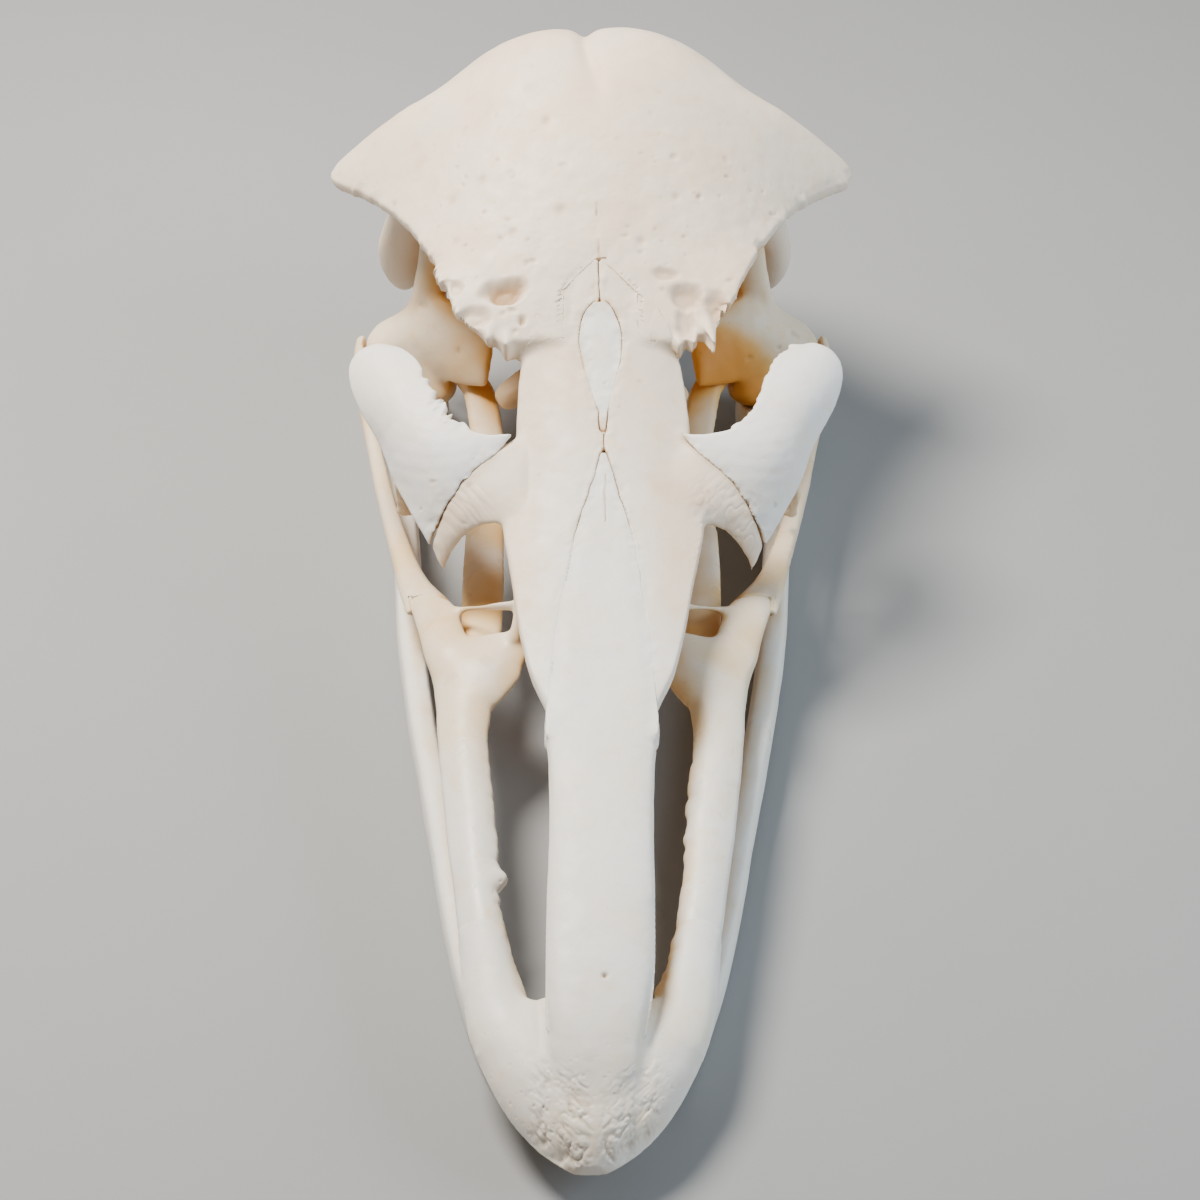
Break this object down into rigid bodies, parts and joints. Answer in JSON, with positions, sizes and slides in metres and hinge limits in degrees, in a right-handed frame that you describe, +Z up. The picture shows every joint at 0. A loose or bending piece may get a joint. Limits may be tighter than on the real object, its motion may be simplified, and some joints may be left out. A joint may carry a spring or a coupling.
{
  "type": "bird skull",
  "caption": "Cleaned ostrich skull with its lower jaw: broad vaulted roof with winged eye sockets, and a long flat beak with nostril windows beside a central bar.",
  "frame": {"origin": "middle of the skull's length and width, on the surface that the lower jaw rests on", "axes": "the beak points along -Y and the back of the head along +Y, +X is the right of the picture, +Z is up"},
  "size_m": [0.0846, 0.1952, 0.0685],
  "materials": {
    "roof_bone": "dry cleaned bone, ivory, satin with fine pits",
    "beak_bone": "dry cleaned bone, cool grey white, smooth satin",
    "lacrimal_bone": "dry cleaned bone, bright blue white, satin",
    "palate_bone": "dry cleaned bone, cream, partly glossy",
    "deep_bone": "dry cleaned bone, yellowish tan, satin"
  },
  "bodies": {
    "root": {"cranium": "roof_bone", "mesethmoid": "deep_bone", "premaxilla": "beak_bone", "nasal_left": "roof_bone", "nasal_right": "roof_bone", "lacrimal_left": "lacrimal_bone", "lacrimal_right": "lacrimal_bone", "maxilla_left": "palate_bone", "maxilla_right": "palate_bone", "jugal_left": "palate_bone", "jugal_right": "palate_bone", "quadrate_left": "deep_bone", "quadrate_right": "deep_bone", "pterygoid_left": "deep_bone", "pterygoid_right": "deep_bone", "palatine_left": "palate_bone", "palatine_right": "palate_bone", "vomer": "palate_bone", "mandible": "beak_bone"}
  },
  "joints": []
}
